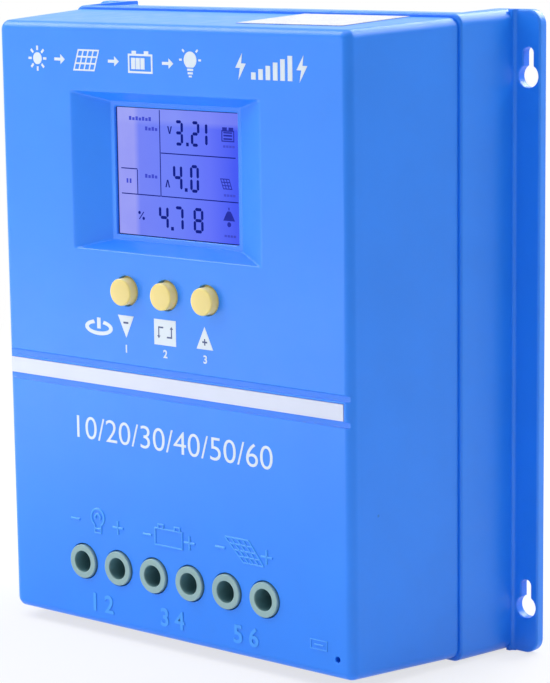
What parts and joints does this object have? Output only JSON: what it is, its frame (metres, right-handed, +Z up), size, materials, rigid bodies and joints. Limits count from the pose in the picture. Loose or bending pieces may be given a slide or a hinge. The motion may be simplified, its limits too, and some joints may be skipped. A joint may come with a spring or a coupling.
{
  "type": "solar charge controller",
  "caption": "Wall-mounted solar charge controller with a recessed backlit display, push buttons and screw terminals reached through round holes in the front of its moulded case",
  "frame": {"origin": "centre of the rectangle of the four keyholes' round holes, on the wall face", "axes": "+Y into the wall, so the front faces -Y; +Z up; +X to the right seen from the front"},
  "size_m": [0.1808, 0.072, 0.1968],
  "materials": {
    "blue_plastic": "fine satin moulding",
    "white_ink": "matt white inlay",
    "label_paper": "smooth blank label",
    "lcd_glass": "backlit violet-blue glass",
    "backlight": "light guide",
    "white_plastic": "moulded",
    "board_green": "solder mask",
    "yellow_plastic": "satin moulding",
    "black_plastic": "moulded",
    "grey_green_plastic": "moulded",
    "zinc_steel": "zinc plated",
    "tinned_copper": "tinned",
    "aluminium": "machined",
    "ferrite": "painted core",
    "copper": "enamelled",
    "cap_sleeve": "shrink sleeve",
    "fuse_green": "moulded",
    "shunt_alloy": "resistance strip",
    "grey_plastic": "moulded",
    "bright_steel": "nickel plated"
  },
  "bodies": {
    "case": {"front_cover": "blue_plastic", "rear_base": "blue_plastic", "front_stripe": "white_ink", "top_label": "label_paper", "lcd_glass": "lcd_glass", "lcd_backlight": "backlight", "lcd_frame": "white_plastic", "usb_tongue": "white_plastic", "insulating_strips": "white_plastic", "display_board": "board_green", "main_board": "board_green", "display_board_screws": "zinc_steel", "main_board_screws": "zinc_steel", "spreader_screws": "zinc_steel", "clamp_bar_screws": "zinc_steel", "case_screws": "zinc_steel", "display_chip": "black_plastic", "control_chips": "black_plastic", "switch_housings": "black_plastic", "mosfets": "black_plastic", "ribbon_headers": "black_plastic", "fuse_holders": "black_plastic", "terminal_housing_1": "grey_green_plastic", "terminal_housing_2": "grey_green_plastic", "terminal_housing_3": "grey_green_plastic", "terminal_housing_4": "grey_green_plastic", "terminal_housing_5": "grey_green_plastic", "terminal_housing_6": "grey_green_plastic", "terminal_bars": "tinned_copper", "heat_spreader": "aluminium", "clamp_bars": "aluminium", "inductor_cores": "ferrite", "inductor_windings": "copper", "large_capacitors": "cap_sleeve", "small_capacitors": "cap_sleeve", "blade_fuses": "fuse_green", "current_shunts": "shunt_alloy", "ribbon_cable": "grey_plastic", "usb_shell": "bright_steel"},
    "minus_button": {"minus_button": "yellow_plastic", "minus_plunger": "black_plastic"},
    "menu_button": {"menu_button": "yellow_plastic", "menu_plunger": "black_plastic"},
    "plus_button": {"plus_button": "yellow_plastic", "plus_plunger": "black_plastic"},
    "terminal_screw_1": {"terminal_screw_1": "zinc_steel"},
    "clamp_cage_1": {"clamp_cage_1": "zinc_steel"},
    "terminal_screw_2": {"terminal_screw_2": "zinc_steel"},
    "clamp_cage_2": {"clamp_cage_2": "zinc_steel"},
    "terminal_screw_3": {"terminal_screw_3": "zinc_steel"},
    "clamp_cage_3": {"clamp_cage_3": "zinc_steel"},
    "terminal_screw_4": {"terminal_screw_4": "zinc_steel"},
    "clamp_cage_4": {"clamp_cage_4": "zinc_steel"},
    "terminal_screw_5": {"terminal_screw_5": "zinc_steel"},
    "clamp_cage_5": {"clamp_cage_5": "zinc_steel"},
    "terminal_screw_6": {"terminal_screw_6": "zinc_steel"},
    "clamp_cage_6": {"clamp_cage_6": "zinc_steel"}
  },
  "joints": [
    {"name": "minus_press", "type": "slide", "parent": "case", "child": "minus_button", "axis": [0, 1, 0], "range_m": [0, 0.0005], "stiffness_N_per_m": 800, "springref_m": -0.0005},
    {"name": "menu_press", "type": "slide", "parent": "case", "child": "menu_button", "axis": [0, 1, 0], "range_m": [0, 0.0005], "stiffness_N_per_m": 800, "springref_m": -0.0005},
    {"name": "plus_press", "type": "slide", "parent": "case", "child": "plus_button", "axis": [0, 1, 0], "range_m": [0, 0.0005], "stiffness_N_per_m": 800, "springref_m": -0.0005},
    {"name": "screw_turn_1", "type": "hinge", "parent": "case", "child": "terminal_screw_1", "pos_m": [-0.0385, -0.05, -0.0727], "axis": [0, 1, 0], "range_deg": [0, 2160]},
    {"name": "cage_rise_1", "type": "slide", "parent": "case", "child": "clamp_cage_1", "axis": [0, -1, 0], "range_m": [0, 0.0048]},
    {"name": "screw_turn_2", "type": "hinge", "parent": "case", "child": "terminal_screw_2", "pos_m": [-0.0235, -0.05, -0.0727], "axis": [0, 1, 0], "range_deg": [0, 2160]},
    {"name": "cage_rise_2", "type": "slide", "parent": "case", "child": "clamp_cage_2", "axis": [0, -1, 0], "range_m": [0, 0.0048]},
    {"name": "screw_turn_3", "type": "hinge", "parent": "case", "child": "terminal_screw_3", "pos_m": [-0.0085, -0.05, -0.0727], "axis": [0, 1, 0], "range_deg": [0, 2160]},
    {"name": "cage_rise_3", "type": "slide", "parent": "case", "child": "clamp_cage_3", "axis": [0, -1, 0], "range_m": [0, 0.0048]},
    {"name": "screw_turn_4", "type": "hinge", "parent": "case", "child": "terminal_screw_4", "pos_m": [0.0065, -0.05, -0.0727], "axis": [0, 1, 0], "range_deg": [0, 2160]},
    {"name": "cage_rise_4", "type": "slide", "parent": "case", "child": "clamp_cage_4", "axis": [0, -1, 0], "range_m": [0, 0.0048]},
    {"name": "screw_turn_5", "type": "hinge", "parent": "case", "child": "terminal_screw_5", "pos_m": [0.0215, -0.05, -0.0727], "axis": [0, 1, 0], "range_deg": [0, 2160]},
    {"name": "cage_rise_5", "type": "slide", "parent": "case", "child": "clamp_cage_5", "axis": [0, -1, 0], "range_m": [0, 0.0048]},
    {"name": "screw_turn_6", "type": "hinge", "parent": "case", "child": "terminal_screw_6", "pos_m": [0.0365, -0.05, -0.0727], "axis": [0, 1, 0], "range_deg": [0, 2160]},
    {"name": "cage_rise_6", "type": "slide", "parent": "case", "child": "clamp_cage_6", "axis": [0, -1, 0], "range_m": [0, 0.0048]}
  ],
  "couplings": [
    {"joint": "screw_turn_1", "follows": "cage_rise_1", "rad_per_m": 7853.9},
    {"joint": "screw_turn_2", "follows": "cage_rise_2", "rad_per_m": 7853.9},
    {"joint": "screw_turn_3", "follows": "cage_rise_3", "rad_per_m": 7853.9},
    {"joint": "screw_turn_4", "follows": "cage_rise_4", "rad_per_m": 7853.9},
    {"joint": "screw_turn_5", "follows": "cage_rise_5", "rad_per_m": 7853.9},
    {"joint": "screw_turn_6", "follows": "cage_rise_6", "rad_per_m": 7853.9}
  ]
}
